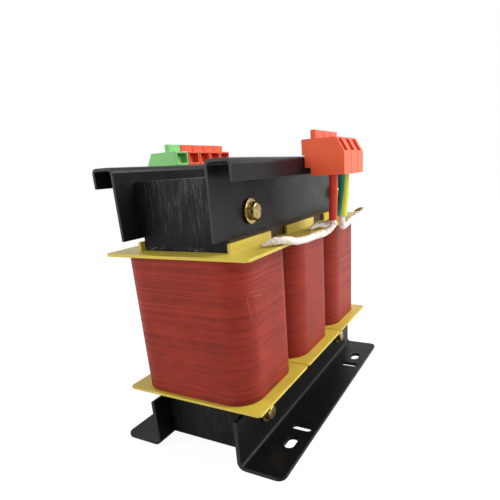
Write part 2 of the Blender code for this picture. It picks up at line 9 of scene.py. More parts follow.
import bmesh
import bpy
import numpy as np
from bpy.props import (FloatProperty, FloatVectorProperty, IntProperty, PointerProperty,
                       StringProperty)
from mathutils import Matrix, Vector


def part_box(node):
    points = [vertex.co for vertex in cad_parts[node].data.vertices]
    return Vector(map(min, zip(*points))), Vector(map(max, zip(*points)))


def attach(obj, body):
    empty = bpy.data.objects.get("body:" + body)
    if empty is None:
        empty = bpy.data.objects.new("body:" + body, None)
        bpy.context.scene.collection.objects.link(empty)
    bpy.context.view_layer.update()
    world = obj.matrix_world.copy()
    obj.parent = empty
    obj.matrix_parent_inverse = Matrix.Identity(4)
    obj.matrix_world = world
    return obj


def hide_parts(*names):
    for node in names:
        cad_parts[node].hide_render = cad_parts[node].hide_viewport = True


bl_info = {
    "name": "Three-phase transformer finishes",
    "version": (1, 0, 0),
    "blender": (4, 5, 0),
    "location": "3D View > Sidebar > Transformer",
    "description": "Finishes, fine pieces and stage for a packed three-phase transformer",
    "category": "Object",
}

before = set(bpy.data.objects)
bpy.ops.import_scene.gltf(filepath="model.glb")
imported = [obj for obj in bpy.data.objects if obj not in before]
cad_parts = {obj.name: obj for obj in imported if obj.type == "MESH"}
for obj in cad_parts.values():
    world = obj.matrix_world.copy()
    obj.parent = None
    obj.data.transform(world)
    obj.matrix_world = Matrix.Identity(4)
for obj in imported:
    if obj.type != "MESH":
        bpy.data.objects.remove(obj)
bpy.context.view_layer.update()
COILS = (1, 2, 3)
RED_BLOCKS = [*(f"front_terminal_{number}" for number in (1, 2, 3)),
              *(f"rear_terminal_{number}" for number in (2, 3, 4, 5))]
BOLT_PLACES = ("top_near", "top_far", "bottom_near", "bottom_far")


# --- values a user may change ---


class CoreLook(bpy.types.PropertyGroup):
    """Laminated core under dipping varnish."""
    edge: FloatProperty(
        name="Edge radius", description="Rounding that the varnish leaves on the sheets' corners",
        default=0.0004, unit="LENGTH")
    varnish: StringProperty(
        name="Varnish", description="Black dipping varnish", default="#101014")
    # Where the sheet edges show through; painted shade holds it back lower down and towards the
    # rear of the yoke.
    worn_and_lit: StringProperty(
        name="Thin varnish", description="Where the sheet edges show through", default="#5A595E")
    specks: StringProperty(
        name="Dried drops", description="Dried drops along the yoke's lower edge",
        default="#97959B")
    side: StringProperty(
        name="Brown side", description="Thin brown varnish on the upper yoke's sides",
        default="#493C2F")
    streak: FloatProperty(
        name="Streak width", description="Width of the streaks across the sheet edges",
        default=0.0016, unit="LENGTH")


class CoilLook(bpy.types.PropertyGroup):
    """Wound coils and their end flanges."""
    turn: FloatProperty(
        name="Turn pitch", description="Height of one turn of wire", default=0.00125, unit="LENGTH")
    groove: FloatProperty(
        name="Groove depth", description="Depth between two turns under the varnish",
        default=0.00010, unit="LENGTH")
    sway: FloatProperty(
        name="Sway", description="How far single turns stand back", default=0.00010, unit="LENGTH")
    around: IntProperty(
        name="Points around", description="Points round one turn", default=144)
    corner: FloatProperty(
        name="Corner radius", description="Radius of the outer turns' corners",
        default=0.0190, unit="LENGTH")
    swell: FloatProperty(
        name="Swell", description="How far the turns stand outside the plain solid",
        default=0.0003, unit="LENGTH")
    varnish: StringProperty(
        name="Varnish", description="Brick red varnish", default="#9A3020")
    shade: StringProperty(
        name="Dark streaks", description="Where the varnish lies thicker", default="#601D16")
    bared: StringProperty(
        name="Scratches", description="Paler wire under the first coil's scratches",
        default="#C08068")
    scratch: FloatProperty(
        name="Scratch strength", description="How far the scratches show",
        default=0.17, min=0.0, max=1.0, subtype="FACTOR")
    board: StringProperty(
        name="Board", description="Yellow flange board", default="#D2BD49")
    board_dark: StringProperty(
        name="Board shade", description="Darker resin in the board", default="#C1AB3C")
    board_edge: FloatProperty(
        name="Board edge", description="Rounding of the flange's edges",
        default=0.0004, unit="LENGTH")


class SheetLook(bpy.types.PropertyGroup):
    """Black painted clamps and feet."""
    edge: FloatProperty(
        name="Edge radius", description="Rounding of the cut edges under the paint",
        default=0.00045, unit="LENGTH")
    paint: StringProperty(
        name="Paint", description="Satin black paint", default="#19191C")
    # Painted shade: a darker colour for the feet, for their dim surroundings low down.
    painted_foot_shade: StringProperty(
        name="Foot paint", description="Darker paint on the feet", default="#0C0C0E")
    # The cut ends are drawn in this lighter grey.
    cut: StringProperty(
        name="Cut ends", description="Thinner paint on the sheets' cut ends", default="#48484C")
    gloss: FloatProperty(
        name="Roughness", description="Roughness of the paint",
        default=0.27, min=0.0, max=1.0, subtype="FACTOR")


class FastenerLook(bpy.types.PropertyGroup):
    """Yellow zinc plated bolts, nuts and washers."""
    zinc: StringProperty(
        name="Plating", description="Yellow chromated zinc", default="#C9B57C")
    zinc_dark: StringProperty(
        name="Plating shade", description="Darker, browner plating", default="#7C653A")
    thread: FloatProperty(
        name="Thread pitch", description="Pitch of the bolt's thread", default=0.001, unit="LENGTH")
    edge: FloatProperty(
        name="Edge radius", description="Rounding of washers and nuts",
        default=0.00025, unit="LENGTH")
    hole: FloatProperty(
        name="Washer hole", description="Radius of the hole in a washer",
        default=0.0036, unit="LENGTH")


class TerminalLook(bpy.types.PropertyGroup):
    """Moulded terminal blocks."""
    red: StringProperty(
        name="Red", description="Orange-red moulding", default="#E15A34")
    green: StringProperty(
        name="Green", description="Light green moulding", default="#83C878")
    edge: FloatProperty(
        name="Edge radius", description="Rounding of the moulded edges",
        default=0.0005, unit="LENGTH")


class LeadLook(bpy.types.PropertyGroup):
    """Leads and their glass fibre sleeves."""
    red: StringProperty(
        name="Red", description="Red lead covering", default="#C23524")
    green: StringProperty(
        name="Green", description="Green of the striped lead", default="#2DB08B")
    yellow: StringProperty(
        name="Yellow", description="Yellow of the striped lead", default="#C7CF46")
    sleeve: StringProperty(
        name="Sleeve", description="White glass fibre braid", default="#EEE3DB")
    stain: StringProperty(
        name="Varnish stain", description="Sleeve where coil varnish soaked in", default="#C0AA90")
    red_radius: FloatProperty(
        name="Red radius", description="Radius of a red lead", default=0.003, unit="LENGTH")
    striped_radius: FloatProperty(
        name="Striped radius", description="Radius of the striped lead",
        default=0.0042, unit="LENGTH")
    sleeve_radius: FloatProperty(
        name="Sleeve radius", description="Radius of a sleeve", default=0.0026, unit="LENGTH")
    sides: IntProperty(
        name="Sides", description="Points round a lead", default=28)


class StageLook(bpy.types.PropertyGroup):
    """Floor, light and camera."""
    eye: FloatVectorProperty(
        name="Camera place", description="Where the camera stands",
        default=(-0.31943, -0.17664, 0.19422), subtype="TRANSLATION")
    turn: FloatVectorProperty(
        name="Camera turn", description="Rotation of the camera",
        default=(1.23815, 0.06478, -1.08884), subtype="EULER")
    lens: FloatProperty(
        name="Lens", description="Focal length in mm on a 36 mm sensor", default=30.488)
    shift: FloatVectorProperty(
        name="Shift", description="Lens shift that the photograph's framing needs",
        size=2, default=(-0.03586, 0.1335))
    key: FloatProperty(
        name="Key light", description="Power of the large light in front",
        default=29.0, unit="POWER")
    side: FloatProperty(
        name="Side light", description="Power of the light at the end", default=11.5, unit="POWER")
    strip: FloatProperty(
        name="Far light", description="Power of the light that the front clamp's far end mirrors",
        default=0.3, unit="POWER")
    sky: FloatProperty(
        name="Sky", description="Strength of the white surroundings as a light", default=0.45)
    floor: StringProperty(
        name="Floor", description="Pale floor", default="#F4F3F1")
    floor_dark: StringProperty(
        name="Floor shade", description="Faint clouds on the floor", default="#F1F0EE")


LOOKS = (
    ("core_look", CoreLook), ("coil_look", CoilLook), ("sheet_look", SheetLook),
    ("fastener_look", FastenerLook), ("terminal_look", TerminalLook), ("lead_look", LeadLook),
    ("stage_look", StageLook),
)


# --- colours and nodes ---


# Nearly all of a noise pattern's values lie between these two.
NOISE = (0.3, 0.7)


def linear(colour):
    """An sRGB hex colour as linear RGBA."""
    srgb = np.array([int(colour[index:index + 2], 16) for index in (1, 3, 5)]) / 255
    channels = np.where(srgb <= 0.04045, srgb / 12.92, ((srgb + 0.055) / 1.055) ** 2.4)
    return (*channels.tolist(), 1.0)


def add_node(tree, kind, inputs=(), output=None, **settings):
    """Add a node with its settings and links, and give back the named output or the first.

    Inputs come in the order of the node's sockets in use, or by name. Each is
    a value, a hex colour or another node's output.
    """
    node = tree.nodes.new("ShaderNode" + kind)
    for key, value in settings.items():
        setattr(node, key, value)
    if not isinstance(inputs, dict):
        in_use = [index for index, socket in enumerate(node.inputs) if socket.enabled]
        inputs = dict(zip(in_use, inputs))
    for key, value in inputs.items():
        if isinstance(value, bpy.types.NodeSocket):
            tree.links.new(value, node.inputs[key])
        else:
            node.inputs[key].default_value = linear(value) if isinstance(value, str) else value
    return node.outputs[output] if output else next(each for each in node.outputs if each.enabled)


def new_material(name, colour, **values):
    """A named Principled material. Values are written on the shader's own sockets."""
    made = bpy.data.materials.new(name)
    made.use_nodes = True
    made.diffuse_color = linear(colour)
    shader = made.node_tree.nodes["Principled BSDF"]
    shader.inputs["Base Color"].default_value = linear(colour)
    for key, value in values.items():
        shader.inputs[key.replace("_", " ")].default_value = value
    return made, made.node_tree


def patterned(made, **patterns):
    """Link the shader's sockets to the patterns given for them."""
    shader = made.node_tree.nodes["Principled BSDF"]
    for key, socket in patterns.items():
        made.node_tree.links.new(socket, shader.inputs[key.replace("_", " ")])
    return made


def axes(tree, source="Object"):
    """The three axes of the piece's own coordinates, or of its UV map."""
    coordinates = add_node(tree, "TexCoord", output=source)
    return add_node(tree, "SeparateXYZ", (coordinates,)).node.outputs


def pattern(tree, size, detail=3.0, rough=0.55):
    """Noise whose blotches measure size in metres, one for all axes or (x, y, z)."""
    coordinates = add_node(tree, "TexCoord", output="Object")
    stretched = add_node(tree, "Mapping", {"Vector": coordinates,
                                           "Scale": (1 / np.full(3, size)).tolist()})
    return add_node(tree, "TexNoise", {"Vector": stretched, "Scale": 1.0, "Detail": detail,
                                       "Roughness": rough})


def layered(tree, *parts, join="MULTIPLY"):
    """Join factors into one. A part may be (factor, low, high, start, stop): the factor's part
    between low and high is first stretched over start to stop, or over 0 to 1."""
    total, *rest = (part if isinstance(part, bpy.types.NodeSocket)
                    else add_node(tree, "MapRange", part) for part in parts)
    for factor in rest:
        total = add_node(tree, "Math", (total, factor), operation=join)
    return total


# --- finishes ---


# Places on the object. Most are two values of an axis between which a finish changes.
YOKE_SHADE_HEIGHT = (0.155, 0.178)  # Z over which the painted shade on the yoke's lower part fades out upwards
YOKE_SHADE_DEPTH = (0.024, 0.004)   # Y over which it fades out towards the front, away from the rear clamp's shadow
YOKE_SIDE = (0.0336, 0.0339)      # the yoke's sides stand at Y 34 mm
ABOVE_COILS = (0.140, 0.145)      # Z between the limbs and the yoke
YOKE_END = (0.1031, 0.1034)       # the yoke's end faces stand at X 103.5 mm
HEM_LOW = (0.1470, 0.1486)        # Z where the dried drops begin
HEM_TOP = (0.1496, 0.1516)        # Z where they end
ABOVE_FEET = (0.05, 0.06)         # Z between the feet and the clamps
FOOT_END = (0.1195, 0.1199)       # X of a foot's cut ends
CLAMP_LONGER = 0.0015             # how much further out a clamp ends than a foot
COIL_FRONT = (-0.044, -0.043)     # Y behind which the coils have no scratches
SCRATCH_WIDTH = (0.0001, 0.0008)  # from a scratch's middle to where it has faded
SCRATCH_FADE = 0.002              # length over which a scratch begins and ends
STRIPE_PLACE = (0.245, 0.14)      # share of a lead's round, at its block and one round below
STRIPE_EDGE = (-0.02, 0.10)       # sine of the way round between which the stripe begins

# Each scratch's long axis and the axis across it, its start, stop, slope and middle.
SCRATCHES = (
    ("Z", "X", 0.1055, 0.1215, 0.159, -0.0873),
    ("X", "Z", -0.1060, -0.0875, 0.090, 0.1144),
    ("X", "Z", -0.1015, -0.0885, 0.135, 0.1070),
)
# Waves of a sleeve's yarns in a length of one round, and in the round itself.
YARNS_ALONG, YARNS_AROUND = 4, 8


def dipped_lamination(look):
    """Silicon steel sheets, stacked and dipped in black varnish: streaks run across the edges, with
    painted shade lower down and towards the rear.
    """
    made, tree = new_material("dipped_silicon_steel", look.varnish, IOR=1.52,
                              Specular_IOR_Level=0.13)
    x, y, z = axes(tree)
    # Single sheets are 0.5 mm thick, too fine to show, so the streaks are three sheets wide.
    streaks = pattern(tree, (0.05, look.streak, 0.026), detail=4.0, rough=0.7)
    fine = pattern(tree, (0.0012, 0.0008, 0.003), detail=2.0)
    patches = pattern(tree, (0.05, 0.012, 0.014), detail=1.0)
    # Painted shade: lower down and towards the rear, in the rear clamp's shadow, fewer of the
    # lighter streaks show, so the yoke is darker there.
    worn_and_lit = layered(tree, (streaks, 0.47, 0.62), (fine, 0.35, 0.6, 0.3, 1.0),
                   (patches, 0.38, 0.60, 0.4, 1.0), (z, *YOKE_SHADE_HEIGHT, 0.25, 1.0),
                   (y, *YOKE_SHADE_DEPTH, 0.35, 1.0))
    colour = add_node(tree, "Mix", (worn_and_lit, look.varnish, look.worn_and_lit), data_type="RGBA")
    # The yoke's sides, in the shade of the clamps, have a thin brown varnish.
    sideways = add_node(tree, "Math", (y,), operation="ABSOLUTE")
    side = layered(tree, (sideways, *YOKE_SIDE), (z, *ABOVE_COILS))
    colour = add_node(tree, "Mix", (side, colour, look.side), data_type="RGBA")
    # Drops dried along the lower edge of its end faces, with gaps between them.
    drops = pattern(tree, (0.0016, 0.0015, 0.0010), detail=2.0, rough=0.7)
    gaps = pattern(tree, 0.007, detail=1.0)
    endways = add_node(tree, "Math", (x,), operation="ABSOLUTE")
    hem = layered(tree, (z, *HEM_TOP, 1.0, 0.0), (z, *HEM_LOW), (drops, 0.56, 0.66),
                  (gaps, 0.40, 0.55), (endways, *YOKE_END))
    return patterned(
        made,
        Base_Color=add_node(tree, "Mix", (hem, colour, look.specks), data_type="RGBA"),
        Roughness=add_node(tree, "MapRange", (streaks, *NOISE, 0.35, 0.60)),
        Normal=add_node(tree, "Bump", {"Height": layered(tree, streaks, fine),
                                       "Distance": 0.0003}))


def satin_black_paint(look):
    """Steel sheet, sprayed and baked in satin black: a soft sheen with a faint orange peel.

    The feet's paint is duller than the clamps', and darker as painted shade for their dim
    surroundings low down; on all cut ends it is drawn a lighter grey.
    """
    made, tree = new_material("baked_black_paint", look.paint, IOR=1.5, Specular_IOR_Level=0.12)
    x, _, z = axes(tree)
    # Painted shade: below the clamps the colour turns to the feet's darker one.
    high = add_node(tree, "MapRange", (z, *ABOVE_FEET))
    coat_with_foot_shade = add_node(tree, "Mix", (high, look.painted_foot_shade, look.paint), data_type="RGBA")
    # The cut ends, the clamps' 1.5 mm further out than the feet's, are drawn a lighter grey.
    outward = add_node(tree, "Math", (x,), operation="ABSOLUTE")
    reach = add_node(tree, "Math", (high, -CLAMP_LONGER, outward), operation="MULTIPLY_ADD")
    ends = layered(tree, (reach, *FOOT_END, 0.0, 0.70), (high, 0.0, 1.0, 0.5, 1.0))
    cloud = pattern(tree, 0.018)
    peel = pattern(tree, 0.0011, detail=1.0)
    return patterned(
        made,
        Base_Color=add_node(tree, "Mix", (ends, coat_with_foot_shade, look.cut), data_type="RGBA"),
        Roughness=layered(tree, (cloud, *NOISE, look.gloss - 0.05, look.gloss + 0.07),
                          (high, 0.0, 1.0, 0.08, 0.0), join="ADD"),
        Normal=add_node(tree, "Bump", {"Height": peel, "Distance": 0.00001}))


def pressed_board(look):
    """Glass-filled polyester board, pressed: yellow resin with faint clouds and fibres."""
    made, tree = new_material("pressed_polyester_board", look.board, IOR=1.55,
                              Specular_IOR_Level=0.35, Subsurface_Weight=0.12,
                              Subsurface_Radius=(0.0012, 0.0008, 0.0003), Subsurface_Scale=1.0)
    clouds = pattern(tree, (0.02, 0.02, 0.008))
    fibres = pattern(tree, (0.0035, 0.0009, 0.0020), detail=2.0)
    tone = layered(tree, (clouds, *NOISE), (fibres, *NOISE, 0.7, 1.0))
    return patterned(
        made,
        Base_Color=add_node(tree, "Mix", (tone, look.board_dark, look.board), data_type="RGBA"),
        Roughness=add_node(tree, "MapRange", (clouds, *NOISE, 0.34, 0.48)),
        Normal=add_node(tree, "Bump", {"Height": fibres, "Distance": 0.00006}))


def scratched(tree, along, across, start, stop, slope, middle):
    """A thin line from start to stop of one axis, where the other axis plus slope times the first
    equals middle."""
    off = add_node(tree, "Math", (along, slope, across), operation="MULTIPLY_ADD")
    off = add_node(tree, "Math", (off, middle), operation="SUBTRACT")
    off = add_node(tree, "Math", (off,), operation="ABSOLUTE")
    return layered(tree, (off, *SCRATCH_WIDTH, 1.0, 0.0), (along, start, start + SCRATCH_FADE),
                   (along, stop - SCRATCH_FADE, stop, 1.0, 0.0))


def red_winding_varnish(look):
    """Copper wire turns under brick red varnish: close lines, uneven from turn to turn."""
    made, tree = new_material("varnished_copper_turns", look.varnish, IOR=1.5,
                              Specular_IOR_Level=0.16)
    turns = pattern(tree, (0.35, 0.35, look.turn * 0.55), detail=2.0, rough=0.5)
    patches = pattern(tree, (0.014, 0.014, 0.003), detail=2.0)
    clouds = pattern(tree, (0.022, 0.022, 0.03), detail=2.0)
    drips = pattern(tree, (0.006, 0.006, 0.0009), detail=2.0)
    # Each line is dark along parts of its turn only, over broad clouds of thicker varnish.
    lines = layered(tree, (turns, 0.40, 0.58), (patches, 0.34, 0.66, 0.16, 0.50))
    dark = layered(tree, lines, (clouds, *NOISE, 0.35, 0.0), join="ADD")
    skin = add_node(tree, "Mix", (dark, look.varnish, look.shade), data_type="RGBA")
    # Three pale scratches cross the turns at the first coil's front corner.
    axis = axes(tree)
    scratches = [scratched(tree, axis[along], axis[across], *where)
                 for along, across, *where in SCRATCHES]
    pale = layered(tree, layered(tree, *scratches, join="MAXIMUM"),
                   (axis["Y"], *COIL_FRONT, look.scratch, 0.0))
    return patterned(
        made,
        Base_Color=add_node(tree, "Mix", (pale, skin, look.bared), data_type="RGBA"),
        Roughness=add_node(tree, "MapRange", (turns, *NOISE, 0.40, 0.55)),
        Normal=add_node(tree, "Bump", {"Height": drips, "Distance": 0.00002}))


def enamelled_copper():
    """Copper wire with red-brown enamel, wound close."""
    made, tree = new_material("enamelled_copper_wire", "#A8563A", Roughness=0.35, Metallic=0.6)
    turns = pattern(tree, (0.05, 0.05, 0.0013))
    return patterned(
        made,
        Base_Color=add_node(tree, "Mix", (turns, "#8C4630", "#B8674A"), data_type="RGBA"),
        Normal=add_node(tree, "Bump", {"Height": turns, "Distance": 0.0001}))


def insulating_paper():
    """Brown insulating paper, rolled: long faint fibres."""
    made, tree = new_material("rolled_insulating_paper", "#A98A5E", Roughness=0.85)
    fibres = pattern(tree, (0.004, 0.004, 0.0006), detail=4.0)
    return patterned(
        made,
        Base_Color=add_node(tree, "Mix", (fibres, "#957649", "#BA9C70"), data_type="RGBA"),
        Normal=add_node(tree, "Bump", {"Height": fibres, "Distance": 0.00004}))


def yellow_zinc(look):
    """Steel with yellow chromated zinc: gold with browner clouds."""
    made, tree = new_material("yellow_zinc_on_steel", look.zinc, Metallic=1.0)
    clouds = pattern(tree, 0.0035)
    brown = add_node(tree, "MapRange", (clouds, 0.35, 0.7))
    grain = pattern(tree, 0.0005, detail=1.0)
    return patterned(
        made,
        Base_Color=add_node(tree, "Mix", (brown, look.zinc, look.zinc_dark), data_type="RGBA"),
        Roughness=add_node(tree, "MapRange", (clouds, *NOISE, 0.22, 0.36)),
        Normal=add_node(tree, "Bump", {"Height": grain, "Distance": 0.00002}))


def moulded_nylon(name, colour):
    """Nylon, injection moulded: even colour with a fine matt grain and a little light let in."""
    made, tree = new_material(name, colour, IOR=1.53, Specular_IOR_Level=0.25,
                              Subsurface_Weight=0.10,
                              Subsurface_Radius=(0.0015, 0.0006, 0.0004), Subsurface_Scale=1.0)
    clouds = pattern(tree, 0.009)
    tone = add_node(tree, "MapRange", (clouds, *NOISE, 0.96, 1.04))
    grain = pattern(tree, 0.0004, detail=1.0)
    return patterned(
        made,
        Base_Color=add_node(tree, "HueSaturation", {"Color": colour, "Value": tone}),
        Roughness=add_node(tree, "MapRange", (clouds, *NOISE, 0.36, 0.46)),
        Normal=add_node(tree, "Bump", {"Height": grain, "Distance": 0.00003}))


def extruded_pvc(name, colour, stripe=None):
    """Soft PVC, extruded over the wire: smooth, with a colour stripe where there is one."""
    made, tree = new_material(name, colour, IOR=1.53, Specular_IOR_Level=0.25)
    cloud = pattern(tree, (0.004, 0.004, 0.012))
    if stripe:
        # The stripe covers half of the lead's round, on its outer side, and turns slowly along it.
        around, along, _ = axes(tree, "UV")
        turned = layered(tree, around, (along, 0.0, 1.0, *STRIPE_PLACE), join="ADD")
        angle = add_node(tree, "Math", (turned, math.tau), operation="MULTIPLY")
        wave = add_node(tree, "Math", (angle,), operation="SINE")
        edge = add_node(tree, "MapRange", (wave, *STRIPE_EDGE))
        skin = add_node(tree, "Mix", (edge, colour, stripe), data_type="RGBA")
    else:
        tone = add_node(tree, "MapRange", (cloud, *NOISE, 0.94, 1.05))
        skin = add_node(tree, "HueSaturation", {"Color": colour, "Value": tone})
    return patterned(
        made,
        Base_Color=skin,
        Roughness=add_node(tree, "MapRange", (cloud, *NOISE, 0.30, 0.42)),
        Normal=add_node(tree, "Bump", {"Height": cloud, "Distance": 0.00005}))


def braided_glass(look):
    """Glass fibre yarn, braided into a sleeve: white, with crossing yarns whose gaps carry painted
    shade, and a soaked brown end.

    The yarns are the larger of two sines, one turning each way: of the waves along the sleeve
    plus or minus the waves round it.
    """
    made, tree = new_material("braided_glass_fibre", look.sleeve, IOR=1.5, Roughness=0.72,
                              Sheen_Weight=0.15)
    around, along, _ = axes(tree, "UV")
    waves = []
    for way in (1, -1):
        # The yarns are 0.5 mm wide on the real sleeve and are drawn 1.2 mm wide, so that they show.
        length = add_node(tree, "Math", (along, math.tau * YARNS_ALONG), operation="MULTIPLY")
        angle = add_node(tree, "Math", (around, way * math.tau * YARNS_AROUND, length),
                         operation="MULTIPLY_ADD")
        waves.append((add_node(tree, "Math", (angle,), operation="SINE"), -1.0, 1.0))
    yarns = layered(tree, *waves, join="MAXIMUM")
    blot = pattern(tree, (0.009, 0.006, 0.004))
    # The coil's varnish soaked into the first 15 mm of each sleeve, and stained it in places.
    soaked = layered(tree, (along, 0.1, 1.0, 0.9, 0.0), (blot, 0.3, 0.6, 0.4, 1.0))
    stained = layered(tree, (blot, 0.50, 0.75, 0.0, 0.65), soaked, join="MAXIMUM")
    # Painted shade: the gaps between the yarns are darkened towards the stain colour.
    shade = add_node(tree, "MapRange", (yarns, 0.2, 0.9, 0.16, 0.0))
    shaded_weave = add_node(tree, "Mix", (shade, look.sleeve, look.stain), data_type="RGBA")
    crumple = pattern(tree, (0.003, 0.003, 0.0022), detail=2.0)
    raised = add_node(tree, "Bump", {"Height": yarns, "Distance": 0.00008})
    return patterned(
        made,
        Base_Color=add_node(tree, "Mix", (stained, shaded_weave, look.stain), data_type="RGBA"),
        Normal=add_node(tree, "Bump", {"Height": crumple, "Distance": 0.0010,
                                       "Normal": raised}))


# --- surfaces ---


MERGE = 0.000002              # corners closer than this are one
FLAT = math.radians(0.6)      # faces that fold less than this are one
FOLD = math.radians(34)       # edges that fold more than this are rounded
EDGE_ROUNDS = 2               # faces across a rounded edge
SOFT_FOLD = math.radians(60)  # a turned or wound surface is smooth up to this fold
BOLT_FOLD = math.radians(28)  # and a bolt, with its flats and thread, up to this one

ROWS_A_TURN = 6             # rows of points on one turn of wire
WINDING_CLEARANCE = 0.0003  # between the winding and the paper inside it
INNER_CORNER = 0.0101       # radius of the winding's inner corners
# Waves of the sway: angle for each metre up, and start.
SWAYS = ((2310.0, 0.0), (3870.0, 1.7))

BOLT_SIDES = 48       # points round a bolt
HEAD = 0.004          # height of a bolt's head
SHAFT = 0.003         # radius of its shaft
THREAD_LENGTH = 0.020
THREAD_DEPTH = 0.00045
ROWS_A_PITCH = 6      # rows of points on one turn of the thread
LAST_THREAD = 0.0009  # the thread ends this far before the bolt's end
PLAIN_ROWS = 4        # rows on the plain shaft
BELOW_HEAD = 0.0001   # from the head to the first of them
BOLT_CENTRE = 0.0002  # the small flat at the middle of both ends
# Heights on a bolt's head and the radius that cuts the hexagon there, as a share of half its
# width across flats.
HEAD_PROFILE = ((0.0, 0.0), (0.0, 0.62), (0.00008, 0.93), (0.0004, 1.02), (0.0009, 1.1),
                (0.0014, 1.2), (HEAD - 0.0003, 1.2), (HEAD, 1.15))
# Heights below a bolt's end and the share of the shaft's radius there.
END_PROFILE = ((0.0008, 0.93), (0.0003, 0.88), (0.0, 0.80), (0.0, 0.0))

WASHER_SIDES = 64  # points round a washer
CORNER_POINTS = 4  # points round each corner of its section


def box_of(node):
    """The lowest and the highest corner of a CAD node's box, and its middle."""
    low, high = (np.array(corner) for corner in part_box(node))
    return low, high, (low + high) / 2


def grid_piece(name, points, finish, slot, stands_for, close_rows=False, caps=False, uv=None):
    """Make a piece from a grid of points, rows by columns, closed round its columns.

    close_rows joins the last row to the first, and caps fills the first and
    the last row. uv is a grid of (u, v) with one row and one column more than
    the faces have.
    """
    rows, columns = points.shape[:2]
    index = np.arange(rows * columns).reshape(rows, columns)
    beside = np.roll(index, -1, axis=1)
    after = np.roll(index, -1, axis=0)
    after_beside = np.roll(beside, -1, axis=0)
    faces = np.stack([index, beside, after_beside, after], axis=-1)
    if not close_rows:
        faces = faces[:-1]
    ends = [index[0][::-1].tolist(), index[-1].tolist()] if caps else []
    mesh = bpy.data.meshes.new(name)
    mesh.from_pydata(points.reshape(-1, 3).tolist(), [], faces.reshape(-1, 4).tolist() + ends)
    if uv is not None:
        corners = np.stack([uv[:-1, :-1], uv[:-1, 1:], uv[1:, 1:], uv[1:, :-1]], axis=2)
        flat = np.zeros(len(mesh.loops) * 2)
        flat[:corners.size] = corners.ravel()
        mesh.uv_layers.new(name="UVMap").data.foreach_set("uv", flat)
    mesh.validate()
    shape = bmesh.new()
    shape.from_mesh(mesh)
    bmesh.ops.recalc_face_normals(shape, faces=shape.faces)
    shape.to_mesh(mesh)
    shape.free()
    mesh.shade_smooth()
    return shown(bpy.data.objects.new(name, mesh), finish, slot, stands_for)


def shown(piece, finish, slot, stands_for):
    """Put a finished piece into the scene on the CAD body, in place of the nodes it stands for."""
    bpy.context.scene.collection.objects.link(piece)
    piece.data.materials.append(finish)
    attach(piece, "root")
    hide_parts(*stands_for)
    return piece


def finished_copy(node, finish, slot, edge):
    """A merged copy of a CAD node, with smooth bends and rounded edges, in the node's place."""
    shape = bmesh.new()
    shape.from_mesh(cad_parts[node].data)
    bmesh.ops.remove_doubles(shape, verts=shape.verts, dist=MERGE)
    bmesh.ops.dissolve_limit(shape, angle_limit=FLAT, verts=shape.verts, edges=shape.edges)
    # A flat face that runs round an opening is cut into convex ones, so that its rounded edges
    # fill cleanly.
    many_sided = [face for face in shape.faces if len(face.verts) > 4]
    bmesh.ops.connect_verts_concave(shape, faces=many_sided)
    mesh = bpy.data.meshes.new(node + "_finished")
    shape.to_mesh(mesh)
    shape.free()
    mesh.shade_smooth()
    mesh.set_sharp_from_angle(angle=FOLD)
    piece = bpy.data.objects.new(node + "_finished", mesh)
    bevel = piece.modifiers.new("rounded edges", "BEVEL")
    bevel.width = edge
    bevel.segments = EDGE_ROUNDS
    bevel.limit_method = "ANGLE"
    bevel.angle_limit = FOLD
    bevel.harden_normals = True
    shown(piece, finish, slot, (node,))


def carried_over(node, finish):
    """Give a CAD node that stays as it is a better material."""
    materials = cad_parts[node].data.materials
    materials.clear()
    materials.append(finish)


def rounded_loop(half_x, half_y, radius, count):
    """Points round a rounded rectangle, evenly spaced along its length.

    The outline is walked by arc length s: quarter circle, straight, quarter
    circle and so on, and each s gives a point of the stretch that it falls in.
    """
    straight = np.array([half_x, half_y]) - radius
    quarter = radius * math.pi / 2
    ends = np.cumsum([quarter, 2 * straight[0], quarter, 2 * straight[1]] * 2)
    s = np.arange(count) / count * ends[-1]
    stretch = np.searchsorted(ends, s, side="right")
    into = s - np.concatenate([[0.0], ends])[stretch]
    corner = stretch // 2
    on_arc = stretch % 2 == 0
    angle = corner * math.pi / 2 + np.where(on_arc, into / radius, math.pi / 2)
    along = np.where(on_arc, 0.0, into)
    x, y = (np.array([(1, 1), (-1, 1), (-1, -1), (1, -1)]) * straight)[corner].T
    return np.stack([x + radius * np.cos(angle) - np.sin(angle) * along,
                     y + radius * np.sin(angle) + np.cos(angle) * along], axis=1)


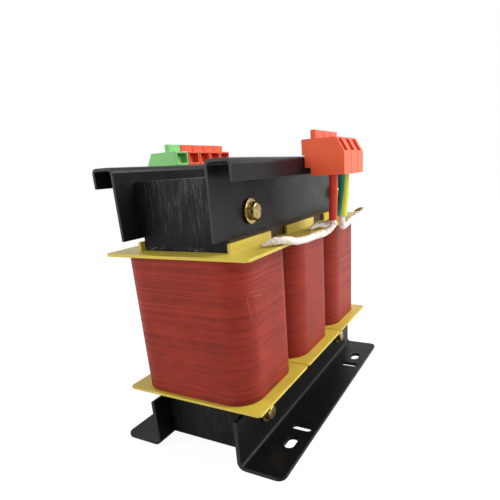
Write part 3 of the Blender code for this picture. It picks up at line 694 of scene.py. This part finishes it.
def wound_coil(number, look, finish):
    """The outer winding of one coil.

    The outer wall is a rounded rectangle, larger than the plain solid by the
    swell, carried up Z and drawn in square to itself. The groove draws it in
    by its depth times 1 - |sin(pi t)|, where t is the height over the turn
    pitch less the share of the way round, which makes one helix. The sway
    does so by its depth times a half plus a quarter of two sines of Z. The
    inner wall is plain, and the two are joined at both ends.
    """
    node = f"coil_{number}_outer_winding"
    low, high, centre = box_of(node)
    half = (high - low) / 2 + look.swell
    z = np.linspace(low[2], high[2], round((high[2] - low[2]) / look.turn * ROWS_A_TURN) + 1)
    loop = rounded_loop(half[0], half[1], look.corner, look.around)
    share = np.arange(look.around) / look.around
    wave = np.abs(np.sin(math.pi * (z[:, None] / look.turn - share[None, :])))
    slow = 0.5 + sum(0.25 * np.sin(z * rate + start) for rate, start in SWAYS)
    drop = look.groove * (1 - wave) + look.sway * slow[:, None]
    facing = np.roll(loop, -1, axis=0) - np.roll(loop, 1, axis=0)
    outward = unit(np.stack([facing[:, 1], -facing[:, 0]], axis=1))
    flat = loop[None] - outward[None] * drop[..., None]
    outer = np.concatenate([flat, np.repeat(z[:, None], look.around, axis=1)[..., None]], axis=2)
    paper_low, paper_high, _ = box_of(f"coil_{number}_layer_wrap")
    inner_half = (paper_high - paper_low) / 2 + WINDING_CLEARANCE
    inner_loop = rounded_loop(inner_half[0], inner_half[1], INNER_CORNER, look.around)
    inner = np.stack([np.column_stack([inner_loop, np.full(look.around, height)])
                      for height in (high[2], low[2])])
    points = np.concatenate([outer, inner]) + np.array([centre[0], centre[1], 0.0])
    piece = grid_piece(f"coil_{number}_turns", points, finish, "red_varnished_wire", (node,),
                       close_rows=True)
    piece.data.set_sharp_from_angle(angle=SOFT_FOLD)


def smooth_path(route, step):
    """Points along a route: on each stretch a cubic, whose slope at a route point is half the way
    from the point before to the point after it."""
    route = np.array(route)
    ends = np.vstack([2 * route[0] - route[1], route, 2 * route[-1] - route[-2]])[:, None]
    before, start, stop, after = ends[:-3], ends[1:-2], ends[2:-1], ends[3:]
    count = max(2, int(np.linalg.norm(stop - start, axis=2).max() / step))
    t = (np.arange(count) / count)[:, None]
    points = 0.5 * (2 * start + (stop - before) * t
                    + (2 * before - 5 * start + 4 * stop - after) * t ** 2
                    + (3 * start - before - 3 * stop + after) * t ** 3)
    return np.vstack([points.reshape(-1, 3), route[-1]])


def unit(vectors):
    """The vector in each row, at a length of 1."""
    return vectors / np.linalg.norm(vectors, axis=1)[:, None]


def length_along(path):
    """How far along a path each of its points lies."""
    steps = np.linalg.norm(np.diff(path, axis=0), axis=1)
    return np.concatenate([[0.0], np.cumsum(steps)])


def tube(name, path, radii, sides, finish, slot, stands_for):
    """A round tube along a path: at each point a circle across the path's direction, whose first
    axis is square to the direction and to one fixed line that no lead follows."""
    direction = unit(np.gradient(path, axis=0))
    first = unit(np.cross(direction, np.ones(3)))
    second = np.cross(direction, first)
    angle = np.arange(sides) / sides * math.tau
    circle = (first[:, None] * np.cos(angle)[None, :, None]
              + second[:, None] * np.sin(angle)[None, :, None])
    points = path[:, None] + circle * radii[..., None]
    around = np.arange(sides + 1) / sides
    along = length_along(path) / (math.tau * float(radii.mean()))
    uv = np.stack(np.broadcast_arrays(around[None, :], along[:, None]), axis=2)
    grid_piece(name, points, finish, slot, stands_for, caps=True, uv=uv)


def turned_piece(name, centre, along, radii, finish, node, fold, **closing):
    """A surface turned round Y: a height along Y for each row, and a radius for each row and
    point round it."""
    angle = np.arange(radii.shape[1]) / radii.shape[1] * math.tau
    points = np.stack([centre[0] + radii * np.cos(angle), along[:, None] + 0 * angle,
                       centre[2] + radii * np.sin(angle)], axis=2)
    piece = grid_piece(name, points, finish, "yellow_zinc_steel", (node,), **closing)
    piece.data.set_sharp_from_angle(angle=fold)


def bolt_piece(place, look, finish):
    """A hexagon head bolt with a chamfered head and a thread.

    The surface is a radius over height along the bolt and angle round it. On
    the head it is the smaller of the hexagon, half across flats over the
    cosine of the angle from the nearest flat, and the head's profile. On the
    thread's length it is a helix: the shaft's radius less a triangle wave of
    height over pitch less the share of the way round.
    """
    node = f"yoke_bolt_{place}"
    low, high, centre = box_of(node)
    flats = (high[0] - low[0]) / 2
    length = high[1] - low[1]
    share = np.arange(BOLT_SIDES) / BOLT_SIDES
    from_flat = np.mod(share * math.tau + math.pi / 6, math.pi / 3) - math.pi / 6
    head, limits = np.array(HEAD_PROFILE).T
    limits = np.append(limits * flats, SHAFT)[:, None]
    plain = np.linspace(HEAD + BELOW_HEAD, length - THREAD_LENGTH, PLAIN_ROWS)
    thread = np.arange(length - THREAD_LENGTH, length - LAST_THREAD, look.thread / ROWS_A_PITCH)
    turns = np.abs(2 * np.mod(thread[:, None] / look.thread - share[None], 1.0) - 1)
    below_end, end_shares = np.array(END_PROFILE).T
    radii = np.vstack([
        np.minimum(flats / np.cos(from_flat)[None, :], limits),
        np.full((len(plain), BOLT_SIDES), SHAFT),
        SHAFT - THREAD_DEPTH * turns,
        np.repeat(end_shares[:, None] * SHAFT, BOLT_SIDES, axis=1)])
    along = low[1] + np.concatenate([head, [HEAD], plain, thread, length - below_end])
    turned_piece(f"{node}_threaded", centre, along, np.maximum(radii, BOLT_CENTRE), finish, node,
                 BOLT_FOLD, caps=True)


def washer_piece(node, look, finish):
    """A flat washer: a rectangle with rounded corners, as radius and height, turned round Y."""
    low, high, centre = box_of(node)
    outer = (high[0] - low[0]) / 2
    middle = np.array([(outer + look.hole) / 2, centre[1]])
    reach = np.array([(outer - look.hole) / 2, (high[1] - low[1]) / 2]) - look.edge
    quarters = np.arange(4)[:, None] + np.linspace(0, 1, CORNER_POINTS)
    turn = quarters.ravel() * math.pi / 2
    signs = np.repeat([(1, 1), (-1, 1), (-1, -1), (1, -1)], CORNER_POINTS, axis=0)
    section = middle + signs * reach + look.edge * np.stack([np.cos(turn), np.sin(turn)], axis=1)
    radii = np.repeat(section[:, :1], WASHER_SIDES, axis=1)
    turned_piece(f"{node}_turned", centre, section[:, 1], radii, finish, node, SOFT_FOLD,
                 close_rows=True)


# --- routes of the leads, as the CAD model has them ---


# Each lead's place (x, y) in its block, and the point where its sleeve takes it.
LEADS = {
    "coil_1": ((-0.0181, -0.0708), (-0.0157, -0.0694, 0.1566)),
    "coil_2": ((-0.0026, -0.0654), (0.0011, -0.0635, 0.1590)),
    "coil_3": ((0.0129, -0.0683), (0.0117, -0.0670, 0.1561)),
}
BLOCK_CEILING = 0.1941       # Z where the leads end in their blocks
JOINT = 0.0003               # gap between a lead and its sleeve
STUB = 0.0035                # straight stretch on both sides of it
LEAD_STEP = 0.0007           # points along a lead are at most this far apart
SLEEVE_STEP = 0.0006         # and along a sleeve this far
SLEEVE_TIP = (0.35, 0.0105)  # share of the radius at the coil end, and the rise's length
SLEEVE_FULL = 0.92           # share of the radius between the dents
# Dents in a sleeve: share of the radius, angle for each metre along, and waves round it.
DENTS = ((0.05, 900, 2), (0.05, 430, 3), (0.03, 1900, -2))
SLEEVES = {
    "coil_1": ((-0.0875, -0.0465, 0.149645), (-0.0800, -0.0520, 0.1513),
               (-0.0730, -0.0577, 0.1513), (-0.0640, -0.0597, 0.1491),
               (-0.0500, -0.0605, 0.1477), (-0.0340, -0.0630, 0.1480),
               (-0.0225, -0.0660, 0.1485)),
    "coil_2": ((-0.0150, -0.0505, 0.149645), (-0.0046, -0.0515, 0.1513),
               (0.0008, -0.0542, 0.1513), (0.0040, -0.0578, 0.1515)),
    "coil_3": ((0.1130, -0.0470, 0.149645), (0.1120, -0.0530, 0.1514),
               (0.1060, -0.0580, 0.1513), (0.0920, -0.0600, 0.1500),
               (0.0740, -0.0603, 0.1490), (0.0550, -0.0610, 0.1480),
               (0.0360, -0.0630, 0.1470), (0.0200, -0.0650, 0.1471)),
}


def lead_piece(label, radius, look, finish, slot):
    """One lead, from the ceiling of its block to its sleeve."""
    (top_x, top_y), (x, y, z) = LEADS[label]
    route = [(top_x, top_y, BLOCK_CEILING), (top_x, top_y, (BLOCK_CEILING + z) / 2),
             (x, y, z + JOINT + STUB), (x, y, z + JOINT)]
    path = smooth_path(route, LEAD_STEP)
    radii = np.full((len(path), look.sides), radius)
    tube(f"lead_{label}_cover", path, radii, look.sides, finish, slot, (f"lead_{label}",))


def sleeve_piece(label, look, finish):
    """One sleeve: a tube that narrows at its coil end and is pressed in a little along its length.

    The radius is the sleeve's, times a rise from the tip's share to 1, times
    a share near 1 with small sines of length and angle, never more than 1.
    """
    x, y, z = LEADS[label][1]
    path = smooth_path([*SLEEVES[label], (x, y, z - STUB), (x, y, z)], SLEEVE_STEP)
    length = length_along(path)[:, None]
    tip, tip_length = SLEEVE_TIP
    rise = tip + (1 - tip) * np.clip(length / tip_length, 0.0, 1.0)
    angle = np.arange(look.sides) / look.sides * math.tau
    dents = sum((depth * np.sin(length * rate + waves * angle) for depth, rate, waves in DENTS),
                SLEEVE_FULL)
    radii = look.sleeve_radius * rise * np.minimum(dents, 1.0)
    tube(f"sleeve_{label}_braid", path, radii, look.sides, finish, "white_fibreglass_sleeve",
         (f"sleeve_{label}",))


# --- stage ---


FLOOR_REACH = 4.0       # half the floor's width
FLOOR_GLOW = 1.12       # strength of the floor's white for the camera
FLOOR_WHITE = 0.82      # share of it, so that a soft shadow stays
AIM = (0.0, 0.0, 0.12)  # the middle of the coils, at which the lamps point
SENSOR = 36.0           # width of the camera's sensor in mm
NEAREST = 0.01          # the camera sees nothing closer than this


def lay_floor(look):
    """A pale floor that turns white for the camera and keeps a soft shadow."""
    mesh = bpy.data.meshes.new("floor")
    corners = [(x * FLOOR_REACH, y * FLOOR_REACH, 0.0)
               for x, y in ((-1, -1), (1, -1), (1, 1), (-1, 1))]
    mesh.from_pydata(corners, [], [(0, 1, 2, 3)])
    floor = bpy.data.objects.new("floor", mesh)
    bpy.context.scene.collection.objects.link(floor)
    made, tree = new_material("matt_floor_board", look.floor, Roughness=0.9)
    cloud = pattern(tree, 0.3)
    patterned(made, Base_Color=add_node(tree, "Mix", (cloud, look.floor, look.floor_dark),
                                        data_type="RGBA"))
    white = add_node(tree, "Emission", ("#FFFFFF", FLOOR_GLOW))
    seen = add_node(tree, "LightPath", output="Is Camera Ray")
    amount = add_node(tree, "Math", (seen, FLOOR_WHITE), operation="MULTIPLY")
    board = tree.nodes["Principled BSDF"].outputs["BSDF"]
    tree.links.new(add_node(tree, "MixShader", (amount, board, white)),
                   tree.nodes["Material Output"].inputs["Surface"])
    mesh.materials.append(made)


def light_surroundings(look):
    """White all round: full white to the camera and in reflections, softer as a light."""
    world = bpy.data.worlds.new("white_surroundings")
    world.use_nodes = True
    tree = world.node_tree
    rays = add_node(tree, "LightPath").node.outputs
    seen = layered(tree, rays["Is Camera Ray"], rays["Is Glossy Ray"],
                   rays["Is Transmission Ray"], join="MAXIMUM")
    background = tree.nodes["Background"]
    background.inputs["Color"].default_value = linear("#FFFFFF")
    tree.links.new(add_node(tree, "MapRange", (seen, 0.0, 1.0, look.sky, 1.0)),
                   background.inputs["Strength"])
    bpy.context.scene.world = world


def hang_lamp(name, place, size, power):
    """A square soft light aimed at the coils."""
    lamp = bpy.data.objects.new(name, bpy.data.lights.new(name, "AREA"))
    lamp.data.size = size
    lamp.data.energy = power
    lamp.location = place
    x, y, z = np.array(AIM) - place
    lamp.rotation_euler = (math.atan2(math.hypot(x, y), -z), 0.0, math.atan2(-x, y))
    bpy.context.scene.collection.objects.link(lamp)


def set_camera(look):
    """The photograph's camera."""
    camera = bpy.data.objects.new("camera", bpy.data.cameras.new("camera"))
    camera.location = look.eye
    camera.rotation_euler = look.turn
    camera.data.sensor_width = SENSOR
    camera.data.lens = look.lens
    camera.data.shift_x, camera.data.shift_y = look.shift
    camera.data.clip_start = NEAREST
    bpy.context.scene.collection.objects.link(camera)
    bpy.context.scene.camera = camera


# --- operators ---


class FinishCore(bpy.types.Operator):
    """Finish the laminated core and the tubes round the yoke bolts"""
    bl_idname = "transformer.finish_core"
    bl_label = "Core"

    def execute(self, context):
        look = context.scene.core_look
        finish = dipped_lamination(look)
        for node in ("core_e_stack", "core_top_yoke"):
            finished_copy(node, finish, "varnished_lamination", look.edge)
        paper = insulating_paper()
        for place in BOLT_PLACES:
            carried_over(f"bolt_bush_{place}", paper)
        return {"FINISHED"}


class WindCoils(bpy.types.Operator):
    """Wind the three coils and finish their flanges and inner pieces"""
    bl_idname = "transformer.wind_coils"
    bl_label = "Coils"

    def execute(self, context):
        look = context.scene.coil_look
        varnish = red_winding_varnish(look)
        board = pressed_board(look)
        copper = enamelled_copper()
        paper = insulating_paper()
        for number in COILS:
            wound_coil(number, look, varnish)
            for end in ("top", "bottom"):
                finished_copy(f"coil_{number}_{end}_flange", board, "yellow_glass_board",
                              look.board_edge)
            carried_over(f"coil_{number}_former", board)
            carried_over(f"coil_{number}_inner_winding", copper)
            carried_over(f"coil_{number}_layer_wrap", paper)
        return {"FINISHED"}


class PaintSheets(bpy.types.Operator):
    """Paint the clamps and the feet"""
    bl_idname = "transformer.paint_sheets"
    bl_label = "Clamps and feet"

    def execute(self, context):
        look = context.scene.sheet_look
        paint = satin_black_paint(look)
        for node in ("top_clamp_front", "top_clamp_rear", "foot_front", "foot_rear"):
            finished_copy(node, paint, "black_paint", look.edge)
        return {"FINISHED"}


class PlateFasteners(bpy.types.Operator):
    """Cut and plate the yoke bolts, their washers and their nuts"""
    bl_idname = "transformer.plate_fasteners"
    bl_label = "Fasteners"

    def execute(self, context):
        look = context.scene.fastener_look
        zinc = yellow_zinc(look)
        for place in BOLT_PLACES:
            bolt_piece(place, look, zinc)
            washer_piece(f"front_washer_{place}", look, zinc)
            washer_piece(f"rear_washer_{place}", look, zinc)
            finished_copy(f"yoke_nut_{place}", zinc, "yellow_zinc_steel", look.edge)
        return {"FINISHED"}


class MouldTerminals(bpy.types.Operator):
    """Finish the terminal blocks"""
    bl_idname = "transformer.mould_terminals"
    bl_label = "Terminal blocks"

    def execute(self, context):
        look = context.scene.terminal_look
        red = moulded_nylon("moulded_red_nylon", look.red)
        green = moulded_nylon("moulded_green_nylon", look.green)
        for node in RED_BLOCKS:
            finished_copy(node, red, "red_terminal_plastic", look.edge)
        finished_copy("rear_terminal_earth", green, "green_terminal_plastic", look.edge)
        return {"FINISHED"}


class DrawLeads(bpy.types.Operator):
    """Draw the leads and their sleeves"""
    bl_idname = "transformer.draw_leads"
    bl_label = "Leads"

    def execute(self, context):
        look = context.scene.lead_look
        red = extruded_pvc("extruded_red_pvc", look.red)
        striped = extruded_pvc("extruded_striped_pvc", look.green, look.yellow)
        braid = braided_glass(look)
        for label in ("coil_1", "coil_2"):
            lead_piece(label, look.red_radius, look, red, "red_lead_plastic")
        lead_piece("coil_3", look.striped_radius, look, striped, "green_yellow_lead_plastic")
        for label in SLEEVES:
            sleeve_piece(label, look, braid)
        return {"FINISHED"}


class SetStage(bpy.types.Operator):
    """Lay the floor and set the surroundings, the lights and the camera"""
    bl_idname = "transformer.set_stage"
    bl_label = "Stage"

    def execute(self, context):
        look = context.scene.stage_look
        context.scene.view_settings.view_transform = "Standard"
        lay_floor(look)
        light_surroundings(look)
        hang_lamp("front_softbox", place=(0.70, -1.1, 1.0), size=1.1, power=look.key)
        hang_lamp("end_softbox", place=(-1.1, 0.85, 0.75), size=1.2, power=look.side)
        hang_lamp("far_strip", place=(1.22, -0.43, 0.22), size=0.34, power=look.strip)
        set_camera(look)
        return {"FINISHED"}


OPERATORS = (FinishCore, WindCoils, PaintSheets, PlateFasteners, MouldTerminals, DrawLeads,
             SetStage)


class TransformerPanel(bpy.types.Panel):
    """Sizes, colours and steps of the transformer"""
    bl_label = "Transformer"
    bl_idname = "VIEW3D_PT_transformer"
    bl_space_type = "VIEW_3D"
    bl_region_type = "UI"
    bl_category = "Transformer"

    def draw(self, context):
        for (name, group), operator in zip(LOOKS, OPERATORS):
            box = self.layout.box()
            box.operator(operator.bl_idname)
            for field in group.__annotations__:
                box.prop(getattr(context.scene, name), field)


CLASSES = (*(group for _, group in LOOKS), *OPERATORS, TransformerPanel)


def register():
    for item in CLASSES:
        bpy.utils.register_class(item)
    for name, group in LOOKS:
        setattr(bpy.types.Scene, name, PointerProperty(type=group))


def unregister():
    for name, _ in LOOKS:
        delattr(bpy.types.Scene, name)
    for item in reversed(CLASSES):
        bpy.utils.unregister_class(item)


def main():
    """Run every step in order."""
    register()
    for operator in OPERATORS:
        getattr(bpy.ops.transformer, operator.bl_idname.split(".")[1])()


if __name__ == "__main__":
    main()
